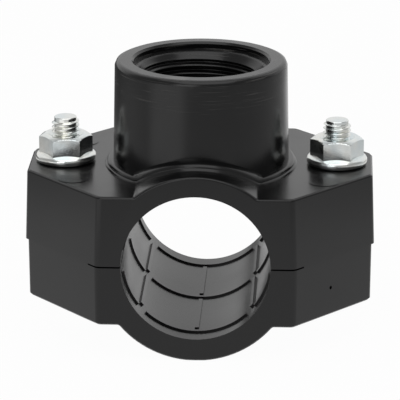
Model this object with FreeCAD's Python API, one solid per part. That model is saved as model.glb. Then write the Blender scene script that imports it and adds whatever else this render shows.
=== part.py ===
import FreeCAD, Part
import math
import os

# Tapping saddle: two moulded half shells bolted round a pipe, the upper one with a threaded branch outlet.
# The origin is on the pipe's axis, under the outlet. The pipe runs along Y and the outlet points up.
# All sizes are in millimetres.

# Pipe bore and the grip ribs raised inside it
pipe_radius = 20.0
rib_height = 0.5
rib_width = 1.1
rib_root = 0.4
hoop_rib_spacing = 28.2
hoop_middle_angle = 43.0
hoop_side_angles = (52.0, 81.0)
beam_rib_angle = 48.5
beam_rib_gap = 1.8

# Half shells
upper_half_length = 34.8
upper_ring_radius = 26.1
ear_top = 20.1
lower_half_length = 34.3
lower_ring_radius = 26.9
ear_depth = 16.8
foot_width = 5.4
ear_overhang = 0.7
ear_end_half_length = 10.2
front_half_width = 27.0
upper_draft_degrees = 2.0
lower_draft_degrees = 0.5
front_corner_radius = 2.5
ear_corner_radius = 2.0
rim_bevel = 0.7
ear_fillet = 1.2
joint_gap = 0.3
joint_gap_half_width = 29.5

# Outlet boss with the oval bead round its foot
outlet_height = 49.8
boss_top_radius = 24.0
boss_draft_degrees = 1.15
boss_rim_radius = 1.5
bead_half_width = 26.3
bead_half_length = 28.3
bead_height = 1.8
bead_bevel = 0.8
bead_foot = 0.6
bead_foot_edge = 0.05

# Outlet socket for a one inch parallel pipe thread, cut to the size of the thread's crests
thread_crest_radius = 15.145
thread_root_radius = 16.62
mouth_radius = 18.8
mouth_bevel = 0.6
mouth_depth = 2.0
mouth_step_radius = 18.1
thread_start_depth = 3.7
socket_floor_wall = 6.0
branch_hole_radius = 9.5

# Sealing ring in its groove round the branch hole
gasket_inner_radius = 11.0
gasket_outer_radius = 14.2
gasket_thickness = 2.45
gasket_proud = 0.45
gasket_clearance = 0.15

# Clamping bolts and flange nuts
nut_room = 2.6
bolt_edge_distance = 10.7
bolt_length = 44.9
bolt_radius = 3.9
bolt_tip_chamfer = 0.9
bolt_hole_clearance = 0.6
head_across_flats = 13.0
head_height = 5.3
hexagon_chamfer_degrees = 30.0
pocket_depth = 4.7
pocket_clearance = 0.2
nut_across_flats = 13.0
nut_height = 7.8
nut_flange_radius = 8.5
nut_flange_edge = 2.0
nut_flange_slope_degrees = 22.0
nut_bore_clearance = 0.05
nut_corner_chamfer = 0.9
nut_turn_degrees = {"left": 6.0, "right": 0.0}

# How far a cutting tool runs past the face that it opens
overrun = 5.0

UP = FreeCAD.Vector(0, 0, 1)
ALONG_PIPE = FreeCAD.Vector(0, 1, 0)
ORIGIN = FreeCAD.Vector(0, 0, 0)

bore_radius = pipe_radius + rib_height
bolt_x = bead_half_width + bead_foot + nut_room + nut_flange_radius
ear_reach = bolt_x + bolt_edge_distance
head_seat = -ear_depth + pocket_depth
socket_floor = bore_radius + socket_floor_wall


def cylinder_up(radius, bottom, top, x=0.0, y=0.0):
    """Upright cylinder between two heights."""
    return Part.makeCylinder(radius, top - bottom, FreeCAD.Vector(x, y, bottom), UP)


def cylinder_along_pipe(radius, half_length, side):
    """Cylinder about the pipe's axis, its seam turned away from the half shell that it serves."""
    start = FreeCAD.Vector(0, side * half_length, 0)
    return Part.makeCylinder(radius, 2 * half_length, start, ALONG_PIPE * -side)


def box_between(low, high):
    """Box from its lowest to its highest corner."""
    size = [top - bottom for bottom, top in zip(low, high)]
    return Part.makeBox(size[0], size[1], size[2], FreeCAD.Vector(*low))


def revolved(profile, axis=UP, degrees=360):
    """Solid of revolution about an axis through the origin, from the corners of its section."""
    corners = [FreeCAD.Vector(*corner) for corner in profile]
    face = Part.Face(Part.makePolygon(corners + corners[:1]))
    return face.revolve(ORIGIN, axis, degrees)


def rounded_outline(corners, radii, height):
    """Closed level outline whose corners are rounded, each by its own radius."""
    count = len(corners)
    arcs = []
    for place in range(count):
        corner = FreeCAD.Vector(*corners[place], height)
        back = (FreeCAD.Vector(*corners[place - 1], height) - corner).normalize()
        ahead = (FreeCAD.Vector(*corners[(place + 1) % count], height) - corner).normalize()
        half_angle = back.getAngle(ahead) / 2
        tangent = radii[place] / math.tan(half_angle)
        inward = (back + ahead).normalize()
        middle = corner + inward * (radii[place] / math.sin(half_angle) - radii[place])
        arcs.append((corner + back * tangent, middle, corner + ahead * tangent))
    edges = []
    for place in range(count):
        start, middle, end = arcs[place]
        edges.append(Part.Arc(start, middle, end).toShape())
        edges.append(Part.LineSegment(end, arcs[(place + 1) % count][0]).toShape())
    return Part.Wire(edges)


def ear_outline(half_length, reach, drawn_in, height):
    """Eight-sided plan of a half shell at one height, with its walls drawn in by the mould's draft."""
    front = front_half_width - drawn_in
    end = reach - drawn_in
    corners = [
        (front, -half_length),
        (end, -ear_end_half_length),
        (end, ear_end_half_length),
        (front, half_length),
        (-front, half_length),
        (-end, ear_end_half_length),
        (-end, -ear_end_half_length),
        (-front, -half_length),
    ]
    side = [front_corner_radius, ear_corner_radius, ear_corner_radius, front_corner_radius]
    return rounded_outline(corners, side + side, height)


def ear_prism(half_length, reach, draft, height):
    """Prism of a half shell with its mould's draft, from the parting plane to a height above or below it."""
    drawn_in = abs(height) * math.tan(math.radians(draft))
    base = ear_outline(half_length, reach, 0.0, 0.0)
    far = ear_outline(half_length, reach, drawn_in, height)
    return Part.makeLoft([base, far], True, True)


def shell_section(ring_radius, ear_height, half_length, side):
    """Front section of a half shell: two flat ears and the round back, joined by fillets."""
    fillet_x = math.sqrt((ring_radius + ear_fillet) ** 2 - (ear_height + ear_fillet) ** 2)
    fillet_z = ear_height + ear_fillet
    to_ring = math.atan2(-fillet_z, -fillet_x)
    half_way = (to_ring - math.pi / 2) / 2
    width = 2 * ear_reach

    def at(x, z):
        return FreeCAD.Vector(x, -half_length, side * z)

    def fillet_point(sign, angle):
        return at(sign * (fillet_x + ear_fillet * math.cos(angle)), fillet_z + ear_fillet * math.sin(angle))

    def fillet_arc(sign):
        low = at(sign * fillet_x, ear_height)
        return Part.Arc(low, fillet_point(sign, half_way), fillet_point(sign, to_ring)).toShape()

    edges = [
        Part.LineSegment(at(-width, 0), at(width, 0)).toShape(),
        Part.LineSegment(at(width, 0), at(width, ear_height)).toShape(),
        Part.LineSegment(at(width, ear_height), at(fillet_x, ear_height)).toShape(),
        fillet_arc(1),
        Part.Arc(fillet_point(1, to_ring), at(0, ring_radius), fillet_point(-1, to_ring)).toShape(),
        fillet_arc(-1),
        Part.LineSegment(at(-fillet_x, ear_height), at(-width, ear_height)).toShape(),
        Part.LineSegment(at(-width, ear_height), at(-width, 0)).toShape(),
    ]
    return Part.Face(Part.Wire(Part.__sortEdges__(edges)))


def section_bar(ring_radius, ear_height, half_length, side):
    """Front section of a half shell drawn out along the pipe."""
    section = shell_section(ring_radius, ear_height, half_length, side)
    return section.extrude(ALONG_PIPE * (2 * half_length))


def is_wall(face):
    """True where a face stands upright, apart from its draft."""
    u_low, u_high, v_low, v_high = face.ParameterRange
    normal = face.normalAt((u_low + u_high) / 2, (v_low + v_high) / 2)
    return abs(normal.z) < math.sin(math.radians(15))


def rim_edges(solid, parting):
    """Edges where the upright walls meet the outer back of a half shell."""
    def outer(face):
        return abs(face.CenterOfMass.z - parting) > 1e-3 and not is_wall(face)

    walls = [face for face in solid.Faces if is_wall(face)]
    backs = [face for face in solid.Faces if outer(face)]
    back_edges = [edge for face in backs for edge in face.Edges]
    wall_edges = [edge for face in walls for edge in face.Edges]
    return [edge for edge in wall_edges if any(edge.isSame(other) for other in back_edges)]


def half_shell(ring_radius, ear_height, half_length, reach, draft, side):
    """Solid half shell before its holes: drafted ears and round back with every outer rim bevelled."""
    height = side * (ring_radius + overrun)
    prism = ear_prism(half_length, reach, draft, height)
    shell = section_bar(ring_radius, ear_height, half_length, side).common(prism)
    return shell.makeChamfer(rim_bevel, rim_edges(shell, 0.0))


def rib(start, end, from_angle, to_angle, side):
    """Grip rib in the bore, between two places along the pipe and two angles from the vertical."""
    crest = pipe_radius * side
    root = (bore_radius + rib_root) * side
    section = [(0, start, root), (0, start, crest), (0, end, crest), (0, end, root)]
    solid = revolved(section, ALONG_PIPE, to_angle - from_angle)
    solid.rotate(ORIGIN, ALONG_PIPE, from_angle)
    return solid


def hoop_ribs(arcs_by_place, side):
    """Ribs that run round the bore, each broken into arcs."""
    ribs = []
    for place, arcs in arcs_by_place:
        for from_angle, to_angle in arcs:
            ribs.append(rib(place - rib_width / 2, place + rib_width / 2, from_angle, to_angle, side))
    return ribs


def beam_ribs(angles, side):
    """Ribs that run along the bore, in the two bays between the hoops."""
    half_angle = math.degrees(rib_width / 2 / pipe_radius)
    bay_start = rib_width / 2 + beam_rib_gap
    bay_end = hoop_rib_spacing - rib_width / 2 - beam_rib_gap
    ribs = []
    for angle in angles:
        ribs.append(rib(bay_start, bay_end, angle - half_angle, angle + half_angle, side))
        ribs.append(rib(-bay_end, -bay_start, angle - half_angle, angle + half_angle, side))
    return ribs


def hoop_arcs():
    """The arc across the middle of a hoop, and the two arcs beside it."""
    near, far = hoop_side_angles
    return [(-hoop_middle_angle, hoop_middle_angle)], [(-far, -near), (near, far)]


def joint_space():
    """Flat space left open between the two halves, beside the bore."""
    low = (-joint_gap_half_width, -upper_half_length - overrun, -joint_gap)
    high = (joint_gap_half_width, upper_half_length + overrun, joint_gap)
    return box_between(low, high)


def bolt_cylinders(radius, bottom, top):
    """One upright cylinder on each bolt axis."""
    return [cylinder_up(radius, bottom, top, x) for x in (-bolt_x, bolt_x)]


def hexagon(across_flats, bottom, top, x, turn=0.0):
    """Upright hexagonal prism with a corner towards X, then turned about its own axis."""
    radius = across_flats / math.sqrt(3)
    corners = []
    for step in range(7):
        angle = math.radians(60 * step + turn)
        corners.append(FreeCAD.Vector(x + radius * math.cos(angle), radius * math.sin(angle), bottom))
    return Part.Face(Part.makePolygon(corners)).extrude(UP * (top - bottom))


def ring_about_outlet(inner, outer, low, high):
    """Ring about the outlet's axis whose two faces follow the pipe's round."""
    sleeve = cylinder_up(outer, 0, high + overrun).cut(cylinder_up(inner, 0, high + overrun))
    band = cylinder_along_pipe(high, 2 * outer, 1).cut(cylinder_along_pipe(low, 2 * outer, 1))
    return sleeve.common(band)


def outlet_boss():
    """Tapered round outlet, its rim rounded off in two bevels."""
    foot = bore_radius
    taper = math.tan(math.radians(boss_draft_degrees))
    inset = boss_rim_radius * (1 - math.sqrt(0.5))
    return revolved([
        (0, 0, foot),
        (boss_top_radius + (outlet_height - foot) * taper, 0, foot),
        (boss_top_radius + boss_rim_radius * taper, 0, outlet_height - boss_rim_radius),
        (boss_top_radius - inset, 0, outlet_height - inset),
        (boss_top_radius - boss_rim_radius, 0, outlet_height),
        (0, 0, outlet_height),
    ])


def raised_oval(grown, height, bevel):
    """Oval round the outlet, grown sideways, that stands a little above the ears and the round back."""
    middle = FreeCAD.Vector(0, 0, ear_top / 2)
    along = FreeCAD.Vector(0, bead_half_length + grown, ear_top / 2)
    across = FreeCAD.Vector(bead_half_width + grown, 0, ear_top / 2)
    oval = Part.Ellipse(along, across, middle)
    column = Part.Face(Part.Wire([oval.toShape()])).extrude(UP * outlet_height)
    disc = section_bar(upper_ring_radius + height, ear_top + height, upper_half_length, 1).common(column)
    rim = [edge for edge in disc.Edges if edge.BoundBox.ZMin > ear_top and lies_on(oval, edge)]
    return disc.makeChamfer(bevel, rim)


def lies_on(oval, edge):
    """True where an edge runs round the wall that stands on an oval."""
    for point in edge.discretize(5):
        point.z = oval.Center.z
        nearest = oval.value(oval.parameter(point))
        if point.distanceToPoint(nearest) > 1e-3:
            return False
    return True


def outlet_socket():
    """Space inside the outlet: stepped mouth, lead-in cone, threaded length and branch hole."""
    mouth = outlet_height - mouth_depth
    thread_start = outlet_height - thread_start_depth
    section = [
        (0, 0, 0),
        (branch_hole_radius, 0, 0),
        (branch_hole_radius, 0, socket_floor),
        (thread_crest_radius, 0, socket_floor),
        (thread_crest_radius, 0, thread_start - (thread_root_radius - thread_crest_radius)),
        (thread_root_radius, 0, thread_start),
        (mouth_step_radius, 0, mouth),
        (mouth_radius, 0, mouth),
        (mouth_radius, 0, outlet_height - mouth_bevel),
        (mouth_radius + mouth_bevel, 0, outlet_height),
        (mouth_radius + mouth_bevel, 0, outlet_height + overrun),
        (0, 0, outlet_height + overrun),
    ]
    return revolved(section)


def upper_saddle():
    """Upper half shell with the outlet, its sealing groove, bolt holes and grip ribs."""
    shell = half_shell(upper_ring_radius, ear_top, upper_half_length, ear_reach, upper_draft_degrees, 1)
    foot = raised_oval(bead_foot, bead_foot, bead_foot - bead_foot_edge)
    bead = raised_oval(0.0, bead_height, bead_bevel)
    solid = shell.fuse([foot, bead, outlet_boss()])
    groove = ring_about_outlet(
        gasket_inner_radius - gasket_clearance,
        gasket_outer_radius + gasket_clearance,
        pipe_radius,
        bore_radius - gasket_proud + gasket_thickness + gasket_clearance,
    )
    hole_radius = bolt_radius + bolt_hole_clearance
    bore = cylinder_along_pipe(bore_radius, upper_half_length + overrun, 1)
    tools = [bore, outlet_socket(), joint_space(), groove]
    tools += bolt_cylinders(hole_radius, -overrun, ear_top + overrun)
    solid = solid.cut(tools)
    middle, sides = hoop_arcs()
    hoops = [(-hoop_rib_spacing, middle + sides), (0.0, sides), (hoop_rib_spacing, middle + sides)]
    ribs = hoop_ribs(hoops, 1) + beam_ribs((-beam_rib_angle, beam_rib_angle), 1)
    return solid.fuse(ribs).removeSplitter()


def lower_saddle():
    """Lower half shell with its foot, hexagon pockets, bolt holes and grip ribs."""
    reach = ear_reach - ear_overhang
    solid = half_shell(lower_ring_radius, ear_depth, lower_half_length, reach, lower_draft_degrees, -1)
    foot = -math.sqrt(lower_ring_radius ** 2 - (foot_width / 2) ** 2)
    below_foot = box_between(
        (-pipe_radius, -lower_half_length - overrun, foot - overrun),
        (pipe_radius, lower_half_length + overrun, foot),
    )
    hole_radius = bolt_radius + bolt_hole_clearance
    bore = cylinder_along_pipe(bore_radius, lower_half_length + overrun, -1)
    tools = [bore, joint_space(), below_foot]
    tools += bolt_cylinders(hole_radius, -ear_depth - overrun, overrun)
    pocket_width = head_across_flats + 2 * pocket_clearance
    tools += [hexagon(pocket_width, -ear_depth - overrun, head_seat, x) for x in (-bolt_x, bolt_x)]
    solid = solid.cut(tools)
    middle, sides = hoop_arcs()
    hoops = [(place, middle + sides) for place in (-hoop_rib_spacing, 0.0, hoop_rib_spacing)]
    ribs = hoop_ribs(hoops, -1) + beam_ribs((-beam_rib_angle, 0.0, beam_rib_angle), -1)
    return solid.fuse(ribs).removeSplitter()


def bolt(x):
    """Hexagon bolt: head in its pocket, and a fully threaded shank at the thread's outer size."""
    head = hexagon(head_across_flats, head_seat - head_height, head_seat, x)
    tip = head_seat + bolt_length
    shaft = revolved([
        (0, 0, head_seat - head_height / 2),
        (bolt_radius, 0, head_seat - head_height / 2),
        (bolt_radius, 0, tip - bolt_tip_chamfer),
        (bolt_radius - bolt_tip_chamfer, 0, tip),
        (0, 0, tip),
    ])
    shaft.translate(FreeCAD.Vector(x, 0, 0))
    return head.fuse(shaft).removeSplitter()


def flange_nut(x, turn):
    """Flange nut: conical flange under a chamfered hexagon."""
    bore = bolt_radius + nut_bore_clearance
    corner_radius = nut_across_flats / math.sqrt(3)
    slope = math.tan(math.radians(nut_flange_slope_degrees))
    seat = ear_top
    top = seat + nut_height
    flange_rise = nut_flange_edge + (nut_flange_radius - bore) * slope
    flange = revolved([
        (0, 0, seat),
        (nut_flange_radius, 0, seat),
        (nut_flange_radius, 0, seat + nut_flange_edge),
        (bore, 0, seat + flange_rise),
        (0, 0, seat + flange_rise),
    ])
    blank = revolved([
        (0, 0, seat),
        (corner_radius, 0, seat),
        (corner_radius, 0, top - nut_corner_chamfer),
        (corner_radius - nut_corner_chamfer / math.tan(math.radians(hexagon_chamfer_degrees)), 0, top),
        (0, 0, top),
    ])
    hole = cylinder_up(bore, seat - overrun, top + overrun, x)
    for shape in (flange, blank):
        shape.translate(FreeCAD.Vector(x, 0, 0))
    body = hexagon(nut_across_flats, seat, top, x, turn).common(blank)
    return body.fuse(flange).cut(hole).removeSplitter()


def outlet_gasket():
    """Rubber ring round the branch hole, pressed level with the pipe."""
    low = bore_radius - gasket_proud
    return ring_about_outlet(gasket_inner_radius, gasket_outer_radius, low, low + gasket_thickness)


nodes = {
    "upper_saddle": upper_saddle(),
    "lower_saddle": lower_saddle(),
    "bolt_left": bolt(-bolt_x),
    "bolt_right": bolt(bolt_x),
    "nut_left": flange_nut(-bolt_x, nut_turn_degrees["left"]),
    "nut_right": flange_nut(bolt_x, nut_turn_degrees["right"]),
    "outlet_gasket": outlet_gasket(),
}

os.makedirs("parts", exist_ok=True)
for name, shape in nodes.items():
    shape.exportStep(f"parts/{name}.step")
    bounds = shape.BoundBox
    print(name, "solids", len(shape.Solids), "valid", shape.isValid(), "volume", round(shape.Volume, 1))
    low = (round(bounds.XMin, 2), round(bounds.YMin, 2), round(bounds.ZMin, 2))
    high = (round(bounds.XMax, 2), round(bounds.YMax, 2), round(bounds.ZMax, 2))
    print("  from", low, "to", high)
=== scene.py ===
# %% [markdown]
# # A tapping saddle in black polypropylene and zinc-plated steel
# The part is a clamp for a plastic pipe. Two moulded halves close round the pipe, two bolts with
# flange nuts pull them together, and a threaded outlet stands on the upper half. Its solids
# arrive as a fixed frame, in metres, with the pipe along Y and the outlet pointing up. This
# lesson gives them what solids leave out: the screw threads, the rounded look of moulded rims,
# and surfaces that behave like plastic, zinc and rubber.

# %% Load the frame
import math

import bmesh
import bpy
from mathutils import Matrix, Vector


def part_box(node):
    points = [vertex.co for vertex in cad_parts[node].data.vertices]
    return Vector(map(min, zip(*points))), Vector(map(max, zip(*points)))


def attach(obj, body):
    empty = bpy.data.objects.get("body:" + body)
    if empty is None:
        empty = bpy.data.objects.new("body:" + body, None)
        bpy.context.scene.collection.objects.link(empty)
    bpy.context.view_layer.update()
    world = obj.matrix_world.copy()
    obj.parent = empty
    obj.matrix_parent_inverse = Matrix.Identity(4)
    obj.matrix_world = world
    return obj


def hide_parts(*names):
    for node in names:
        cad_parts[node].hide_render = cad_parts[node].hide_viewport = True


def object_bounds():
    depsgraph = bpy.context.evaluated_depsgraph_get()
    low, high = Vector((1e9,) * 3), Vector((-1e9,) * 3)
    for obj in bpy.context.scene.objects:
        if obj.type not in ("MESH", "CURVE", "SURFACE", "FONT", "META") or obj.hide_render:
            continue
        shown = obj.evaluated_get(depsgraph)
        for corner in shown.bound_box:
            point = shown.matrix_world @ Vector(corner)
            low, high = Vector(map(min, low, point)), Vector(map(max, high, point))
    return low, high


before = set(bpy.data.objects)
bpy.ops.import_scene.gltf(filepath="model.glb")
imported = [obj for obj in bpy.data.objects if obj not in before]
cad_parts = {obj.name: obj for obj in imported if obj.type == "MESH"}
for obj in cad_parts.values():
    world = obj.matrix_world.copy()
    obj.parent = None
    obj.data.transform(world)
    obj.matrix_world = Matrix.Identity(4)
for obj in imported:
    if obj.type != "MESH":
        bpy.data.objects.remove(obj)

MM = 0.001
frame_low, frame_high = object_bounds()


def in_mm(place):
    """Coordinates in millimetres, rounded for printing."""
    return [round(number / MM, 2) for number in place]


print("frame nodes:", ", ".join(sorted(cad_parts)))
print("frame box in mm:", in_mm(frame_low), in_mm(frame_high))

# %% [markdown]
# ## The sizes that the frame doesn't state
# A frame node gives its own box, so most places are read from it. Threads aren't in the solids,
# which stop at the crests, so their pitch and depth are written here as the standards have them:
# a one inch parallel pipe thread has 11 turns to the inch, and an M8 bolt has a pitch of 1.25 mm.

# %% Thread sizes
PIPE_THREAD_PITCH = 25.4 / 11 * MM
PIPE_THREAD_CREST = 15.145 * MM
PIPE_THREAD_ROOT = 16.62 * MM
PIPE_THREAD_LOW = 28.13 * MM
PIPE_THREAD_TOP = 47.4 * MM
BOLT_THREAD_PITCH = 1.25 * MM
BOLT_THREAD_DEPTH = 0.76 * MM
BOLT_RADIUS = 3.9 * MM
EAR_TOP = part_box("nut_left")[0].z
BOLT_X = (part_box("nut_right")[0].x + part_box("nut_right")[1].x) / 2
print("ears end at", round(EAR_TOP / MM, 2), "mm; bolts stand at", round(BOLT_X / MM, 2), "mm")

# %% [markdown]
# ## Turning a solid into a piece
# A frame node is a bag of loose triangles, one patch for each surface of the solid. To cut it or
# to shade it smoothly, its patches have to be sewn together first. Merging points that coincide
# does that. Flat faces come back as single faces when edges between level neighbours are
# dissolved, which keeps shading and cuts clean.

# %% Helpers for meshes
SEWING_DISTANCE = 0.0005 * MM
FLAT_ANGLE = math.radians(0.05)


def placed(name, data):
    """New object in the scene for a mesh, a lamp or a camera."""
    item = bpy.data.objects.new(name, data)
    bpy.context.scene.collection.objects.link(item)
    return item


def open_edges(mesh):
    """Number of edges that don't join exactly two faces: none on a closed surface."""
    shape = bmesh.new()
    shape.from_mesh(mesh)
    count = sum(1 for edge in shape.edges if not edge.is_manifold)
    shape.free()
    return count


def sewn_copy(node, name):
    """Copy of a frame node's shape, without its shading, sewn into one closed surface."""
    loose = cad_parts[node].data
    mesh = bpy.data.meshes.new(name)
    corners = [vertex.co for vertex in loose.vertices]
    mesh.from_pydata(corners, [], [list(face.vertices) for face in loose.polygons])
    shape = bmesh.new()
    shape.from_mesh(mesh)
    bmesh.ops.remove_doubles(shape, verts=shape.verts, dist=SEWING_DISTANCE)
    bmesh.ops.dissolve_limit(shape, angle_limit=FLAT_ANGLE, verts=shape.verts, edges=shape.edges)
    shape.to_mesh(mesh)
    shape.free()
    print(name, "faces", len(mesh.polygons), "open edges", open_edges(mesh))
    return placed(name, mesh)


def settle(piece):
    """Turns a piece and its modifiers into a plain mesh."""
    bpy.context.view_layer.update()
    graph = bpy.context.evaluated_depsgraph_get()
    mesh = bpy.data.meshes.new_from_object(piece.evaluated_get(graph), depsgraph=graph)
    piece.modifiers.clear()
    piece.data = mesh


# %% [markdown]
# ## Cutting and shading
# A boolean takes a tool's shape away from a piece, joins the two or keeps what they share. A tool
# is thrown away once it has been used. Round surfaces are then shaded smoothly and real corners
# are kept sharp. Large faces count for more than narrow ones in the shading, so a flat wall stays
# flat to the eye and the narrow bevel beside it looks rounded.

# %% Helpers for cutting and shading
LEVEL_EDGE = 0.01 * MM
LARGE_FACE_WEIGHT = 90


def combine(piece, tool, operation):
    """Cuts a piece with a tool, joins them or keeps what they share, and drops the tool."""
    modifier = piece.modifiers.new(operation.lower(), "BOOLEAN")
    modifier.operation = operation
    modifier.solver = "EXACT"
    modifier.object = tool
    settle(piece)
    bpy.data.objects.remove(tool)
    print(piece.name, operation.lower(), "leaves", len(piece.data.polygons), "faces")


def shade_round(piece, degrees, crisp=None):
    """Shades a piece smoothly up to an angle, with large faces kept flat.

    Level edges of which both ends pass the crisp test stay sharp."""
    mesh = piece.data
    mesh.shade_smooth()
    mesh.set_sharp_from_angle(angle=math.radians(degrees))
    if crisp is not None:
        kept = 0
        for edge in mesh.edges:
            start, end = (mesh.vertices[index].co for index in edge.vertices)
            if abs(start.z - end.z) < LEVEL_EDGE and crisp(start) and crisp(end):
                edge.use_edge_sharp = True
                kept += 1
        print(piece.name, "keeps", kept, "edges crisp")
    modifier = piece.modifiers.new("weighted_normals", "WEIGHTED_NORMAL")
    modifier.keep_sharp = True
    modifier.weight = LARGE_FACE_WEIGHT
    settle(piece)


def tool_from(shape, name):
    """Tool object made from a finished shape."""
    mesh = bpy.data.meshes.new(name)
    shape.to_mesh(mesh)
    shape.free()
    return placed(name, mesh)


def disc_tool(name, places, radius, depth, reach, direction=Vector((0, 0, 1)), sides=64):
    """Short cylinders at places on a surface, from a depth below it to a reach above it."""
    shape = bmesh.new()
    turn = direction.to_track_quat("Z", "Y").to_matrix().to_4x4()
    for place in places:
        made = bmesh.ops.create_cone(shape, cap_ends=True, segments=sides, radius1=radius,
                                     radius2=radius, depth=depth + reach)
        rise = Vector((0, 0, (reach - depth) / 2))
        bmesh.ops.translate(shape, vec=rise, verts=made["verts"])
        bmesh.ops.transform(shape, matrix=turn, verts=made["verts"])
        bmesh.ops.translate(shape, vec=Vector(place), verts=made["verts"])
    return tool_from(shape, name)


# %% [markdown]
# ## Short words for node trees
# The thread, the materials and the light are all node trees. Each node takes plain numbers or the
# results of other nodes, so one small function decides which it was given.

# %% Helpers for node trees
def put(tree, value, socket):
    """Links a socket to another node's result, or gives it a plain value."""
    if isinstance(value, bpy.types.NodeSocket):
        tree.links.new(value, socket)
    else:
        socket.default_value = value


def calc(tree, operation, *values):
    """Result of a Math node."""
    node = tree.nodes.new("ShaderNodeMath")
    node.operation = operation
    for value, socket in zip(values, node.inputs):
        put(tree, value, socket)
    return node.outputs[0]


def held(tree, value, low, high):
    """A number kept between two bounds."""
    return calc(tree, "MINIMUM", calc(tree, "MAXIMUM", value, low), high)


# %% [markdown]
# ## A screw thread from Geometry Nodes
# A thread is one ridge that climbs by its pitch while it goes round once. That is a rule and not
# a drawing, so a node tree makes it. A flat grid is rolled round the axis. Its rows run along the
# helix, because each step round the axis lifts a row by its share of the pitch, and one turn
# later a row lands exactly on the row a pitch above, where Merge by Distance joins them. The
# height of the ridge is a wave across the rows, clipped at crest and root, which gives the
# rounded flanks of a real thread, and Fullness makes the crest broad or thin. The ridge fades in
# over the run-out at the bottom and out again at the top. Rows outside the wanted length shrink
# to a point on the axis and close the ends. The same tree makes the outlet's core and the bolts'
# thread.

# %% Thread tree
FULL_TURN = 2 * math.pi
RIDGE_WAVE = 0.6  # share of the depth that the wave swings each way; over half, so it is clipped
JOINING_DISTANCE = 0.002 * MM
LENGTHS = ("Inner radius", "Outer radius", "Fullness", "Pitch", "Low", "Top", "Run-out", "Fade top",
           "Wide radius", "Wide below", "Centre X")
COUNTS = ("Steps round", "Rows in a pitch")


def named_inputs(tree):
    """Gives the thread tree its inputs and its output, and hands back the inputs' results."""
    ways = tree.interface
    ways.new_socket(name="Geometry", in_out="INPUT", socket_type="NodeSocketGeometry")
    for name in LENGTHS:
        ways.new_socket(name=name, in_out="INPUT", socket_type="NodeSocketFloat")
    for name in COUNTS:
        ways.new_socket(name=name, in_out="INPUT", socket_type="NodeSocketInt")
    ways.new_socket(name="Material", in_out="INPUT", socket_type="NodeSocketMaterial")
    ways.new_socket(name="Geometry", in_out="OUTPUT", socket_type="NodeSocketGeometry")
    return tree.nodes.new("NodeGroupInput").outputs


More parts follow.
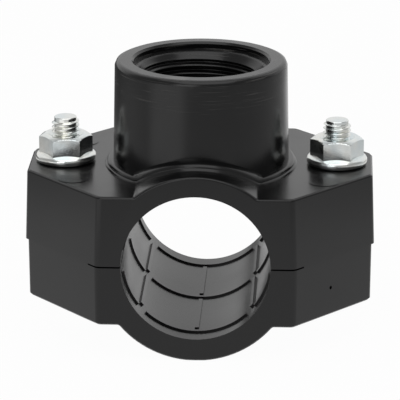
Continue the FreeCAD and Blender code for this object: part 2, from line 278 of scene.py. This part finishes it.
def thread_tree():
    """Node tree that makes a right-hand threaded bar about an upright axis."""
    tree = bpy.data.node_groups.new("threaded_bar", "GeometryNodeTree")
    nodes, links = tree.nodes, tree.links
    given = named_inputs(tree)

    def work(operation, *values):
        return calc(tree, operation, *values)

    def pick(test, no, yes):
        node = nodes.new("GeometryNodeSwitch")
        node.input_type = "FLOAT"
        for value, key in ((test, "Switch"), (no, "False"), (yes, "True")):
            put(tree, value, node.inputs[key])
        return node.outputs[0]

    def compare(operation, left, right):
        node = nodes.new("FunctionNodeCompare")
        node.data_type = "FLOAT"
        node.operation = operation
        put(tree, left, node.inputs["A"])
        put(tree, right, node.inputs["B"])
        return node.outputs[0]

    # The grid: one column for each step round, and rows for a pitch more than the length, with two
    # to spare.
    pitch, low, top = given["Pitch"], given["Low"], given["Top"]
    per_pitch, around = given["Rows in a pitch"], given["Steps round"]
    turns = work("ADD", work("DIVIDE", work("SUBTRACT", top, low), pitch), 1.0)
    rows = work("ADD", work("CEIL", work("MULTIPLY", turns, per_pitch)), 2.0)
    grid = nodes.new("GeometryNodeMeshGrid")
    sides = (("Size X", 1.0), ("Size Y", 1.0), ("Vertices X", work("ADD", around, 1.0)),
             ("Vertices Y", rows))
    for key, value in sides:
        put(tree, value, grid.inputs[key])

    # Where a point stands: its step round the axis, its row, and its height on the helix. Half a
    # point is added before the division, so that rounding never moves a point to another step.
    index = nodes.new("GeometryNodeInputIndex").outputs[0]
    step = work("FLOOR", work("DIVIDE", work("ADD", index, 0.5), rows))
    row = work("SUBTRACT", index, work("MULTIPLY", step, rows))
    part_turn = work("DIVIDE", step, around)
    part_pitch = work("DIVIDE", row, per_pitch)
    climb = work("MULTIPLY", pitch, work("ADD", part_turn, part_pitch))
    height = work("ADD", work("SUBTRACT", low, pitch), climb)

    # How far it stands out: the clipped wave, faded at both ends of the thread.
    swing = work("COSINE", work("MULTIPLY", part_pitch, FULL_TURN))
    middle = work("ADD", given["Fullness"], 0.5)
    ridge = held(tree, work("ADD", work("MULTIPLY", swing, RIDGE_WAVE), middle), 0.0, 1.0)
    fade_in = work("DIVIDE", work("SUBTRACT", height, low), given["Run-out"])
    fade_out = work("DIVIDE", work("SUBTRACT", given["Fade top"], height), given["Run-out"])
    fade = held(tree, work("MINIMUM", fade_in, fade_out), 0.0, 1.0)
    depth = work("SUBTRACT", given["Outer radius"], given["Inner radius"])
    stands_out = work("MULTIPLY", depth, work("MULTIPLY", ridge, fade))
    radius = work("ADD", given["Inner radius"], stands_out)
    in_wide_part = compare("LESS_THAN", height, given["Wide below"])
    radius = pick(in_wide_part, radius, given["Wide radius"])
    below = compare("LESS_THAN", height, low)
    above = compare("GREATER_THAN", height, top)
    radius = pick(above, pick(below, radius, 0.0), 0.0)

    # The point itself, and the finished surface.
    angle = work("MULTIPLY", part_turn, FULL_TURN)
    along_x = work("ADD", given["Centre X"], work("MULTIPLY", radius, work("COSINE", angle)))
    place = nodes.new("ShaderNodeCombineXYZ")
    put(tree, along_x, place.inputs["X"])
    put(tree, work("MULTIPLY", radius, work("SINE", angle)), place.inputs["Y"])
    put(tree, held(tree, height, low, top), place.inputs["Z"])
    roll = nodes.new("GeometryNodeSetPosition")
    links.new(grid.outputs["Mesh"], roll.inputs["Geometry"])
    links.new(place.outputs[0], roll.inputs["Position"])
    join = nodes.new("GeometryNodeMergeByDistance")
    join.inputs["Distance"].default_value = JOINING_DISTANCE
    links.new(roll.outputs["Geometry"], join.inputs["Geometry"])
    real = nodes.new("GeometryNodeRealizeInstances")
    links.new(join.outputs["Geometry"], real.inputs["Geometry"])
    coat = nodes.new("GeometryNodeSetMaterial")
    links.new(real.outputs["Geometry"], coat.inputs["Geometry"])
    links.new(given["Material"], coat.inputs["Material"])
    links.new(coat.outputs["Geometry"], nodes.new("NodeGroupOutput").inputs["Geometry"])
    print("thread tree nodes:", len(nodes))
    return tree


threaded_bar_tree = thread_tree()


def threaded_bar(name, **sizes):
    """Threaded bar made by the tree, as a plain mesh, from the tree's inputs by name."""
    bar = placed(name, bpy.data.meshes.new(name))
    modifier = bar.modifiers.new("thread", "NODES")
    modifier.node_group = threaded_bar_tree
    for socket in threaded_bar_tree.interface.items_tree:
        key = socket.name.lower().replace(" ", "_").replace("-", "_")
        if socket.in_out == "INPUT" and key in sizes:
            modifier[socket.identifier] = sizes[key]
    settle(bar)
    print(name, "faces", len(bar.data.polygons), "open edges", open_edges(bar.data))
    return bar


# %% [markdown]
# ## Short words for materials
# Each material here starts from the principled shader, and all of its unevenness comes from noise
# on Object coordinates, in metres, so a noise's scale is about the number of patches to the metre.
# The noise is carried over to a roughness, used as the share in a mix of two colours, or read as a
# relief by a Bump node. The Mix node holds the sockets for all its kinds of data in one row, so its
# sockets are taken by their place in the row.

# %% Helpers for materials
NOISE_RANGE = (0.3, 0.7)
ALL_OF_IT = (0.0, 1.0)


def new_material(name):
    """New material, with its node tree and its principled shader."""
    material = bpy.data.materials.new(name)
    material.use_nodes = True
    return material, material.node_tree, material.node_tree.nodes["Principled BSDF"]


def noise(tree, scale, detail=2.0, stretch=(1, 1, 1)):
    """Cloudy pattern on Object coordinates, which may be stretched."""
    stretched = tree.nodes.new("ShaderNodeMapping")
    put(tree, tree.nodes.new("ShaderNodeTexCoord").outputs["Object"], stretched.inputs["Vector"])
    stretched.inputs["Scale"].default_value = stretch
    node = tree.nodes.new("ShaderNodeTexNoise")
    for key, value in (("Vector", stretched.outputs[0]), ("Scale", scale), ("Detail", detail)):
        put(tree, value, node.inputs[key])
    return node.outputs[0]


def remap(tree, value, bounds, results, ends="LINEAR"):
    """A number's place between two bounds, carried over to two results."""
    node = tree.nodes.new("ShaderNodeMapRange")
    node.interpolation_type = ends
    put(tree, value, node.inputs["Value"])
    for key, number in zip(("From Min", "From Max", "To Min", "To Max"), (*bounds, *results)):
        node.inputs[key].default_value = number
    return node.outputs[0]


def tint(tree, share, dark, light):
    """Mix of two colours by a share."""
    node = tree.nodes.new("ShaderNodeMix")
    node.data_type = "RGBA"
    for value, place in ((share, 0), (dark, 6), (light, 7)):
        put(tree, value, node.inputs[place])
    return node.outputs[2]


def bump(tree, value, height, under=None):
    """Shading normal for a relief of some height, over another relief where one is given."""
    node = tree.nodes.new("ShaderNodeBump")
    for key, given in (("Height", value), ("Distance", height), ("Strength", 1.0)):
        put(tree, given, node.inputs[key])
    if under is not None:
        put(tree, under, node.inputs["Normal"])
    return node.outputs[0]


# %% [markdown]
# ## Black polypropylene
# Both halves are moulded in black polypropylene. It is never a flat black. Its skin is a little
# uneven in gloss, it carries a very fine grain from the mould, and seen at a low angle it mirrors
# what stands behind it. The gloss comes from the shader's own reflection. Noise on Object
# coordinates varies the roughness and gives the grain. Near the outlet's rim, where the saddle is
# handled and turned, fine scratches run round the boss. They are a noise that is stretched flat:
# slow in the level directions and fast in height.

# %% Plastic material
PLASTIC_IOR = 1.49
PLASTIC_CLOUDS = 45.0
PLASTIC_GRAINS = 1500.0
PLASTIC_DARK = (0.0030, 0.0030, 0.0032, 1)
PLASTIC_LIGHT = (0.0045, 0.0045, 0.0047, 1)
PLASTIC_ROUGHNESS = (0.18, 0.26)
GRAIN_HEIGHT = 0.004 * MM
SCRATCH_COLOUR = (0.055, 0.053, 0.050, 1)
SCRATCH_DEPTH = 0.02 * MM
SCRATCH_STRETCH = (85, 85, 3600)
SCRATCH_SHARE = (0.60, 0.72)
SCRATCHED_HEIGHTS = (38 * MM, 48 * MM)


def moulded_plastic():
    """Black polypropylene with a fine grain, uneven gloss and scratches round the outlet's rim."""
    material, tree, shader = new_material("black_polypropylene")
    shader.inputs["IOR"].default_value = PLASTIC_IOR
    cloud = noise(tree, PLASTIC_CLOUDS, detail=3.0)
    grain = noise(tree, PLASTIC_GRAINS)
    spot = tree.nodes.new("ShaderNodeSeparateXYZ")
    put(tree, tree.nodes.new("ShaderNodeTexCoord").outputs["Object"], spot.inputs["Vector"])
    near_rim = remap(tree, spot.outputs["Z"], SCRATCHED_HEIGHTS, ALL_OF_IT)
    streak = noise(tree, 1.0, detail=3.0, stretch=SCRATCH_STRETCH)
    scratch = calc(tree, "MULTIPLY", remap(tree, streak, SCRATCH_SHARE, ALL_OF_IT), near_rim)
    colour = tint(tree, cloud, PLASTIC_DARK, PLASTIC_LIGHT)
    put(tree, tint(tree, scratch, colour, SCRATCH_COLOUR), shader.inputs["Base Color"])
    put(tree, remap(tree, cloud, NOISE_RANGE, PLASTIC_ROUGHNESS), shader.inputs["Roughness"])
    skin = bump(tree, grain, GRAIN_HEIGHT)
    put(tree, bump(tree, scratch, SCRATCH_DEPTH, under=skin), shader.inputs["Normal"])
    return material


plastic = moulded_plastic()
print("plastic nodes:", len(plastic.node_tree.nodes))

# %% [markdown]
# ## Zinc-plated steel
# Bolts and nuts are cold-formed steel with a bright zinc coat. Zinc is a metal, so all its look
# is reflection: nearly white, faintly blue, with soft warm and green patches where the
# passivation film is thicker. The coat is not quite smooth, so its roughness wanders and a light
# bump breaks up the mirrored shapes.

# %% Zinc material
ZINC_FILM_PATCHES = 170.0
ZINC_CLOUDS = 420.0
ZINC_PITS = 2600.0
ZINC_FILM_EDGES = (0.35, 0.65)
ZINC_COOL = (0.82, 0.88, 0.89, 1)
ZINC_WARM = (0.92, 0.92, 0.88, 1)
ZINC_ROUGHNESS = (0.12, 0.26)
ZINC_WAVINESS = 0.02 * MM
ZINC_PITTING = 0.006 * MM


def zinc_plate():
    """Bright zinc coat with faint tints and an uneven polish."""
    material, tree, shader = new_material("bright_zinc")
    shader.inputs["Metallic"].default_value = 1.0
    film = remap(tree, noise(tree, ZINC_FILM_PATCHES), ZINC_FILM_EDGES, ALL_OF_IT)
    cloud = noise(tree, ZINC_CLOUDS, detail=4.0)
    pits = noise(tree, ZINC_PITS, detail=3.0)
    put(tree, tint(tree, film, ZINC_COOL, ZINC_WARM), shader.inputs["Base Color"])
    put(tree, remap(tree, cloud, NOISE_RANGE, ZINC_ROUGHNESS), shader.inputs["Roughness"])
    waves = bump(tree, cloud, ZINC_WAVINESS)
    put(tree, bump(tree, pits, ZINC_PITTING, under=waves), shader.inputs["Normal"])
    return material


zinc = zinc_plate()
print("zinc nodes:", len(zinc.node_tree.nodes))

# %% [markdown]
# ## Rubber
# The sealing ring is moulded rubber: dull, almost black, with a faint bloom on its skin.

# %% Rubber material
RUBBER_CLOUDS = 300.0
RUBBER_GRAINS = 2200.0
RUBBER_DARK = (0.010, 0.010, 0.010, 1)
RUBBER_BLOOM = (0.022, 0.022, 0.023, 1)
RUBBER_ROUGHNESS = (0.55, 0.72)
RUBBER_GRAIN_HEIGHT = 0.006 * MM


def seal_rubber():
    """Dull black rubber with a faint bloom."""
    material, tree, shader = new_material("sealing_rubber")
    bloom = noise(tree, RUBBER_CLOUDS, detail=3.0)
    put(tree, tint(tree, bloom, RUBBER_DARK, RUBBER_BLOOM), shader.inputs["Base Color"])
    put(tree, remap(tree, bloom, NOISE_RANGE, RUBBER_ROUGHNESS), shader.inputs["Roughness"])
    grain = noise(tree, RUBBER_GRAINS)
    put(tree, bump(tree, grain, RUBBER_GRAIN_HEIGHT), shader.inputs["Normal"])
    return material


rubber = seal_rubber()
print("rubber nodes:", len(rubber.node_tree.nodes))

# %% [markdown]
# ## Handing a piece over
# A finished piece gets its one material. It is hung on an empty for the moving body it rides on,
# and the frame nodes that it stands for are hidden.

# %% Helper for finished pieces
def dress(piece, material, slot, body, *nodes):
    """Gives a finished piece its material and its body, and hides the nodes that it stands for."""
    piece.data.materials.clear()
    piece.data.materials.append(material)
    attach(piece, body)
    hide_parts(*nodes)
    print(piece.name, "rides on", body, "with", len(piece.data.polygons), "faces")


# %% [markdown]
# ## The upper half and its outlet
# The upper half is one moulding, and its outlet's thread is formed by a core that is screwed out
# of the mould. The piece here is made the same way: a threaded bar, the core, is taken away from
# the sewn copy of the solid. The bar's inner radius is a little under the solid's bore, so only
# the ridge bites, and it fades in at the bottom as the real thread does. Four low discs are then
# joined to the tops of the ears. They are the marks of the pins that push the moulding out: each
# pin sits a little deep in its hole, so its mark stands proud. The edges of the outlet's mouth
# stay crisp.

# %% Upper half
MOULDING_ANGLE = 50
CORE_PLAY = 0.06 * MM
PIPE_THREAD_FULLNESS = 0.22
PIPE_THREAD_RUN_OUT = 2.0 * MM
PIPE_THREAD_STEPS = 96
PIPE_THREAD_ROWS = 16
NEVER_ABOVE = 1000 * MM
NEVER_BELOW = -1000 * MM
MARK_RADIUS = 4.2 * MM
MARK_HEIGHT = 0.12 * MM
MARK_ROOT = 1.0 * MM
MARK_INBOARD = 3.5 * MM
MARK_ALONG = 17.9 * MM
MOUTH_REACH = 19.6 * MM
MOUTH_FROM = 48.0 * MM

upper_half = sewn_copy("upper_saddle", "upper_half_moulding")
core = threaded_bar(
    "outlet_core", inner_radius=PIPE_THREAD_CREST - CORE_PLAY, outer_radius=PIPE_THREAD_ROOT,
    fullness=PIPE_THREAD_FULLNESS, pitch=PIPE_THREAD_PITCH, low=PIPE_THREAD_LOW,
    top=PIPE_THREAD_TOP, run_out=PIPE_THREAD_RUN_OUT, fade_top=NEVER_ABOVE, wide_radius=0.0,
    wide_below=NEVER_BELOW, centre_x=0.0, steps_round=PIPE_THREAD_STEPS,
    rows_in_a_pitch=PIPE_THREAD_ROWS)
combine(upper_half, core, "DIFFERENCE")
mark_x = BOLT_X - MARK_INBOARD
mark_places = [(x * mark_x, y * MARK_ALONG, EAR_TOP) for x in (-1, 1) for y in (-1, 1)]
pins = disc_tool("ejector_marks", mark_places, MARK_RADIUS, MARK_ROOT, MARK_HEIGHT)
combine(upper_half, pins, "UNION")


def at_mouth(place):
    """Whether a place lies on the edges of the outlet's mouth."""
    return math.hypot(place.x, place.y) < MOUTH_REACH and place.z > MOUTH_FROM


shade_round(upper_half, MOULDING_ANGLE, crisp=at_mouth)
dress(upper_half, plastic, "body_plastic", "upper_half", "upper_saddle")

# %% [markdown]
# ## The lower half
# The lower half has no thread. Its only mark is a small pit on the right front wall, where the
# moulding broke away from its gate. A short disc, square to that wall, takes it out of the copy.

# %% Lower half
GATE_PLACE = (36.75 * MM, -22.9 * MM, -8.8 * MM)
GATE_RADIUS = 0.5 * MM
GATE_DEPTH = 0.5 * MM
GATE_CLEARS = 1.5 * MM
WALL_FACES = Vector((24.1, -21.0, 0.0)).normalized()

lower_half = sewn_copy("lower_saddle", "lower_half_moulding")
gate = disc_tool("gate_pit", [GATE_PLACE], GATE_RADIUS, GATE_DEPTH, GATE_CLEARS,
                 direction=WALL_FACES, sides=24)
combine(lower_half, gate, "DIFFERENCE")
shade_round(lower_half, MOULDING_ANGLE)
dress(lower_half, plastic, "body_plastic", "lower_half", "lower_saddle")

# %% [markdown]
# ## The bolts
# A bolt's thread is rolled along its whole shank. What the copy of the bolt shares with a
# threaded bar is a bolt with a thread, and the tip keeps the chamfer of the solid. The bar is
# wide below the thread, so that the head stays whole. The two threads start at different angles,
# as on any two bolts.

# %% Bolts
STEEL_ANGLE = 40
HEAD_TOP = 5.6 * MM
BAR_PLAY = 0.04 * MM
BAR_MARGIN = 1.0 * MM
WIDE_RADIUS = 14.0 * MM
THREAD_STOPS = 0.9 * MM
BOLT_THREAD_FULLNESS = -0.2
BOLT_THREAD_RUN_OUT = 0.3 * MM
BOLT_THREAD_STEPS = 48
BOLT_THREAD_ROWS = 12
RIGHT_BOLT_TURN = 0.45


def threaded_bolt(side, x, turn):
    """Bolt with a rolled thread along its shank, turned by a share of a full turn."""
    piece = sewn_copy(f"bolt_{side}", f"{side}_bolt")
    low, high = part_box(f"bolt_{side}")
    bar = threaded_bar(
        f"{side}_rolled_thread", inner_radius=BOLT_RADIUS - BOLT_THREAD_DEPTH,
        outer_radius=BOLT_RADIUS + BAR_PLAY, fullness=BOLT_THREAD_FULLNESS,
        pitch=BOLT_THREAD_PITCH, low=low.z - BAR_MARGIN - turn * BOLT_THREAD_PITCH,
        top=high.z + BAR_MARGIN, run_out=BOLT_THREAD_RUN_OUT, fade_top=high.z - THREAD_STOPS,
        wide_radius=WIDE_RADIUS, wide_below=low.z + HEAD_TOP, centre_x=x,
        steps_round=BOLT_THREAD_STEPS, rows_in_a_pitch=BOLT_THREAD_ROWS)
    combine(piece, bar, "INTERSECT")
    shade_round(piece, STEEL_ANGLE)
    return piece


left_bolt = threaded_bolt("left", -BOLT_X, 0.0)
right_bolt = threaded_bolt("right", BOLT_X, RIGHT_BOLT_TURN)
dress(left_bolt, zinc, "zinc_steel", "lower_half", "bolt_left")
dress(right_bolt, zinc, "zinc_steel", "lower_half", "bolt_right")

# %% [markdown]
# ## The flange nuts
# A flange nut is cold-formed, so its flange has a rolled rim and its corners are never sharp, and
# its bore opens in a countersink. The countersink is a cone taken out of the copy. Then one bevel
# draws the flange's underside in towards the seat, another rounds its rim widely, and a finer one
# softens every other outward edge.

# %% Nuts
COUNTERSINK_RADIUS = 3.95 * MM
COUNTERSINK_DEPTH = 1.0 * MM
SEAT_BEVEL = 0.9 * MM
RIM_BEVEL = 0.55 * MM
FINE_BEVEL = 0.12 * MM
ROUND_PROFILE = 0.5
RIM_PLAY = 0.05 * MM
SEAT_BAND = 0.1 * MM
RIM_BAND = 0.3 * MM
RIM_ANGLE = 0.5  # radians
FINE_ANGLE = math.radians(25)


def countersink_tool(name, x, top):
    """Cone, wide side up, that opens a bore at its top and goes on above it."""
    shape = bmesh.new()
    height = 2 * COUNTERSINK_DEPTH
    bmesh.ops.create_cone(shape, cap_ends=True, segments=96, radius1=COUNTERSINK_RADIUS,
                          radius2=COUNTERSINK_RADIUS + height, depth=height)
    bmesh.ops.translate(shape, vec=Vector((x, 0, top)), verts=shape.verts)
    return tool_from(shape, name)


def bevel_where(piece, chosen, width, segments):
    """Rounds the edges between two faces that pass a test."""
    shape = bmesh.new()
    shape.from_mesh(piece.data)
    picked = [edge for edge in shape.edges if len(edge.link_faces) == 2 and chosen(edge)]
    bmesh.ops.bevel(shape, geom=picked, offset=width, segments=segments, profile=ROUND_PROFILE,
                    affect="EDGES", clamp_overlap=True)
    shape.to_mesh(piece.data)
    shape.free()
    print(piece.name, "rounds", len(picked), "edges by", round(width / MM, 2), "mm")


def flange_nut(side, x):
    """Flange nut with a rolled rim, soft corners and a countersunk bore."""
    piece = sewn_copy(f"nut_{side}", f"{side}_nut")
    low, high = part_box(f"nut_{side}")
    rim = (high.x - low.x) / 2
    combine(piece, countersink_tool(f"{side}_countersink", x, high.z), "DIFFERENCE")

    def outermost(edge):
        out = all(abs(math.hypot(v.co.x - x, v.co.y) - rim) < RIM_PLAY for v in edge.verts)
        return out and edge.calc_face_angle() > RIM_ANGLE

    def on_seat(edge):
        return outermost(edge) and all(v.co.z < low.z + SEAT_BAND for v in edge.verts)

    def on_rim(edge):
        return outermost(edge) and all(v.co.z > low.z + RIM_BAND for v in edge.verts)

    def sharp(edge):
        return edge.is_convex and edge.calc_face_angle() > FINE_ANGLE

    bevel_where(piece, on_seat, SEAT_BEVEL, segments=3)
    bevel_where(piece, on_rim, RIM_BEVEL, segments=4)
    bevel_where(piece, sharp, FINE_BEVEL, segments=2)
    shade_round(piece, STEEL_ANGLE)
    return piece


left_nut = flange_nut("left", -BOLT_X)
right_nut = flange_nut("right", BOLT_X)
dress(left_nut, zinc, "zinc_steel", "left_nut", "nut_left")
dress(right_nut, zinc, "zinc_steel", "right_nut", "nut_right")

# %% [markdown]
# ## The sealing ring
# The ring sits in its groove inside the bore, round the branch hole. Its shape is already right
# in the frame, so it only needs sewing, smooth shading and rubber.

# %% Sealing ring
sealing_ring = sewn_copy("outlet_gasket", "sealing_ring")
shade_round(sealing_ring, MOULDING_ANGLE)
dress(sealing_ring, rubber, "seal_rubber", "upper_half", "outlet_gasket")

# %% [markdown]
# ## A room to mirror
# The photograph is a catalogue shot: a white table with no edge, and soft light from all round.
# Black plastic shows its form only by what it mirrors, so the white has to be there for
# reflections too, and not only for the camera. A real room isn't white all round, and the
# outlet's upright wall shows that: it mirrors white at its right edge, nearly nothing at its left
# edge and a soft bright band left of its middle. So in mirrors the room is white behind, half as
# bright far in front, dark behind on the left, and has one white card ahead on the left. Each of
# these is a soft step in the level direction of what is mirrored, so a few dot products describe
# the room without a picture.

# %% Room in mirrors
BACK = (0, 1, 0)
BACK_EDGE = (0.70, 0.95)
AHEAD_AND_BEHIND = (0.5, 1.0)
CARD_DIRECTION = (-0.66, -0.75, 0)
CARD_EDGE = (0.88, 0.965)
CARD_LEVEL = 0.5
CORNER_EDGE = (-0.1, 0.9)
CORNER_LEVEL = 0.12
RIGHT = (1, 0, 0)
RIGHT_EDGE = (-0.3, 0.0)


def blend(tree, share, low, high):
    """Mix of two numbers by a share."""
    node = tree.nodes.new("ShaderNodeMix")
    for value, place in ((share, 0), (low, 2), (high, 3)):
        put(tree, value, node.inputs[place])
    return node.outputs[0]


def vector_node(tree, operation, *values):
    """Vector Math node with its values put in."""
    node = tree.nodes.new("ShaderNodeVectorMath")
    node.operation = operation
    for value, socket in zip(values, node.inputs):
        put(tree, value, socket)
    return node


def soft_step(tree, value, bounds, results):
    """A number carried over from two bounds to two results, with soft ends."""
    return remap(tree, value, bounds, results, ends="SMOOTHSTEP")


def level_part(tree, spot):
    """A place or direction without its height."""
    return vector_node(tree, "MULTIPLY", spot, (1, 1, 0)).outputs[0]


def mirrored_room(tree, level):
    """Brightness that mirrors see in a level direction from the part."""
    unit = vector_node(tree, "NORMALIZE", level).outputs[0]

    def towards(direction):
        return vector_node(tree, "DOT_PRODUCT", unit, direction).outputs["Value"]

    back = towards(BACK)
    behind = soft_step(tree, back, BACK_EDGE, AHEAD_AND_BEHIND)
    card = soft_step(tree, towards(CARD_DIRECTION), CARD_EDGE, (0.0, CARD_LEVEL))
    dark_corner = soft_step(tree, back, CORNER_EDGE, (1.0, CORNER_LEVEL))
    right = soft_step(tree, towards(RIGHT), RIGHT_EDGE, ALL_OF_IT)
    corner = blend(tree, right, dark_corner, 1.0)
    return calc(tree, "MULTIPLY", calc(tree, "ADD", behind, card), corner)


# %% [markdown]
# ## The table
# The table is a glowing sheet for camera and mirror rays and a plain pale one for the light
# itself, which keeps a faint shadow. Close to the part it has one brightness in mirrors, and
# further out it takes over that of the room. It lies a hair under the part, because two faces in
# the same place would flicker.

# %% Table
FLOOR_GAP = 0.02 * MM
FLOOR_Z = frame_low.z - FLOOR_GAP
TABLE_REACH = 4000 * MM
TABLE_GLOW = 0.97
TABLE_PAINT = (0.8, 0.8, 0.8, 1)
NEAR_TABLE = 0.74
NEAR_TABLE_ENDS = (170 * MM, 220 * MM)


def white_table():
    """Pale surface that glows for camera and mirrors, and keeps a small share of its shading."""
    material, tree, shader = new_material("white_table")
    nodes, links = tree.nodes, tree.links
    nodes.remove(shader)
    path = nodes.new("ShaderNodeLightPath").outputs
    seen = calc(tree, "MAXIMUM", path["Is Camera Ray"], path["Is Glossy Ray"])
    level = level_part(tree, nodes.new("ShaderNodeNewGeometry").outputs["Position"])
    distance = vector_node(tree, "LENGTH", level).outputs["Value"]
    far = soft_step(tree, distance, NEAR_TABLE_ENDS, ALL_OF_IT)
    mirrored = blend(tree, far, NEAR_TABLE, mirrored_room(tree, level))
    glow = nodes.new("ShaderNodeEmission")
    put(tree, blend(tree, path["Is Glossy Ray"], 1.0, mirrored), glow.inputs["Strength"])
    matt = nodes.new("ShaderNodeBsdfDiffuse")
    matt.inputs["Color"].default_value = TABLE_PAINT
    mix = nodes.new("ShaderNodeMixShader")
    put(tree, calc(tree, "MULTIPLY", seen, TABLE_GLOW), mix.inputs[0])
    links.new(matt.outputs[0], mix.inputs[1])
    links.new(glow.outputs[0], mix.inputs[2])
    links.new(mix.outputs[0], nodes["Material Output"].inputs["Surface"])
    return material


table_mesh = bpy.data.meshes.new("table_top")
corner_signs = ((-1, -1), (1, -1), (1, 1), (-1, 1))
table_corners = [(x * TABLE_REACH, y * TABLE_REACH, FLOOR_Z) for x, y in corner_signs]
table_mesh.from_pydata(table_corners, [], [(0, 1, 2, 3)])
table_mesh.materials.append(white_table())
table = placed("table_top", table_mesh)
print("table lies at", round(FLOOR_Z / MM, 2), "mm")

# %% [markdown]
# ## The room and its lamps
# The camera sees plain white all round. The light itself is weaker, so that the part doesn't wash
# out, and mirrors see the room as described above: overhead it is brighter behind than in front.
# One wide softbox hangs over the part and a weaker one fills in from the front.

# %% World and lamps
SKY_FOR_LIGHT, SKY_FOR_CAMERA = 0.44, 1.0
OVERHEAD_EDGE = (0.25, 0.55)
OVERHEAD_LEVELS = (0.32, 0.8)
RAISED_EDGE = (0.0, 0.12)
ROOM_SHARE = 0.8

world = bpy.data.worlds.new("white_room")
bpy.context.scene.world = world
world.use_nodes = True
room_tree = world.node_tree
room_tree.nodes.clear()
rays = room_tree.nodes.new("ShaderNodeLightPath").outputs
sky_direction = room_tree.nodes.new("ShaderNodeTexCoord").outputs["Generated"]
sky_parts = room_tree.nodes.new("ShaderNodeSeparateXYZ")
put(room_tree, sky_direction, sky_parts.inputs[0])
overhead = soft_step(room_tree, sky_parts.outputs["Y"], OVERHEAD_EDGE, OVERHEAD_LEVELS)
room_level = mirrored_room(room_tree, level_part(room_tree, sky_direction))
low_room = calc(room_tree, "MULTIPLY", room_level, ROOM_SHARE)
raised = soft_step(room_tree, sky_parts.outputs["Z"], RAISED_EDGE, ALL_OF_IT)
in_mirrors = blend(room_tree, raised, low_room, overhead)
shown = blend(room_tree, rays["Is Camera Ray"], SKY_FOR_LIGHT, SKY_FOR_CAMERA)
sky = room_tree.nodes.new("ShaderNodeBackground")
sky.inputs["Color"].default_value = (1, 1, 1, 1)
put(room_tree, blend(room_tree, rays["Is Glossy Ray"], shown, in_mirrors), sky.inputs["Strength"])
sky_end = room_tree.nodes.new("ShaderNodeOutputWorld")
room_tree.links.new(sky.outputs[0], sky_end.inputs["Surface"])
print("room nodes:", len(room_tree.nodes))


def softbox(name, place, size, power):
    """Square area lamp that looks at the part, with its place and size in metres."""
    lamp = bpy.data.lights.new(name, "AREA")
    lamp.shape = "SQUARE"
    lamp.size = size
    lamp.energy = power
    holder = placed(name, lamp)
    holder.location = place
    holder.rotation_mode = "QUATERNION"
    holder.rotation_quaternion = Vector(place).to_track_quat("Z", "Y")


softbox("top_softbox", place=(0.05, -0.25, 0.9), size=0.9, power=2.7)
softbox("front_fill", place=(-0.3, -0.9, 0.35), size=0.5, power=1.0)
bpy.context.scene.view_settings.view_transform = "Standard"

# %% [markdown]
# ## The camera
# The photograph was taken with a long lens from a little above and almost straight in front, so
# the upright edges hardly lean. Direction and distance are fitted to the edges of the part in it.

# %% Camera
AZIMUTH = math.radians(2.668)
ELEVATION = math.radians(17.678)
DISTANCE = 836.85 * MM
LOOK_AT = Vector((-0.324, 0.0, 8.684)) * MM
LENS_LENGTH = 267.27
SENSOR_WIDTH = 36.0
VIEW_ENDS = 20000 * MM

view_back = Vector((math.sin(AZIMUTH) * math.cos(ELEVATION),
                    -math.cos(AZIMUTH) * math.cos(ELEVATION), math.sin(ELEVATION)))
lens = bpy.data.cameras.new("long_lens")
lens.lens = LENS_LENGTH
lens.sensor_width = SENSOR_WIDTH
lens.clip_end = VIEW_ENDS
camera = placed("camera", lens)
camera.location = LOOK_AT + view_back * DISTANCE
camera.rotation_mode = "QUATERNION"
camera.rotation_quaternion = (-view_back).to_track_quat("-Z", "Y")
bpy.context.scene.camera = camera
print("camera at", [round(v, 4) for v in camera.location])

# %% [markdown]
# ## Finishing
# The view layer is brought up to date at the end.

# %% Finish
bpy.context.view_layer.update()
